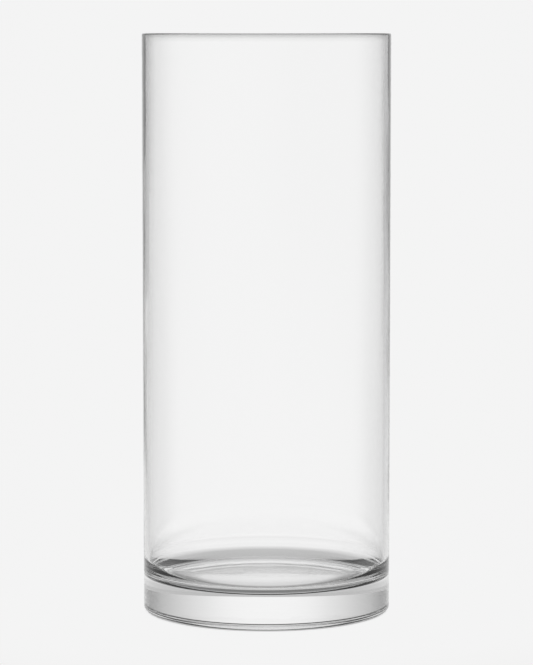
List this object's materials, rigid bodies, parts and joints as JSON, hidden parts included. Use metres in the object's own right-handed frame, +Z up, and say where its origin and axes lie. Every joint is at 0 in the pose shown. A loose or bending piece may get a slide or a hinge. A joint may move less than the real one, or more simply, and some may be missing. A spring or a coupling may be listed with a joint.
{
  "type": "glass cylinder vase",
  "caption": "Tall clear glass cylinder vase with a straight even wall, a plain rim and a thick solid base, for holding cut flowers in water.",
  "frame": {"origin": "middle of the foot, on the surface that the vase stands on", "axes": "+Z up along the vase's axis, towards the rim; +X and +Y are alike, because the vase is round"},
  "size_m": [0.15, 0.15, 0.35],
  "materials": {
    "clear_glass": "clear polished glass"
  },
  "bodies": {
    "root": {"solid_base": "clear_glass", "tube_wall": "clear_glass"}
  },
  "joints": []
}
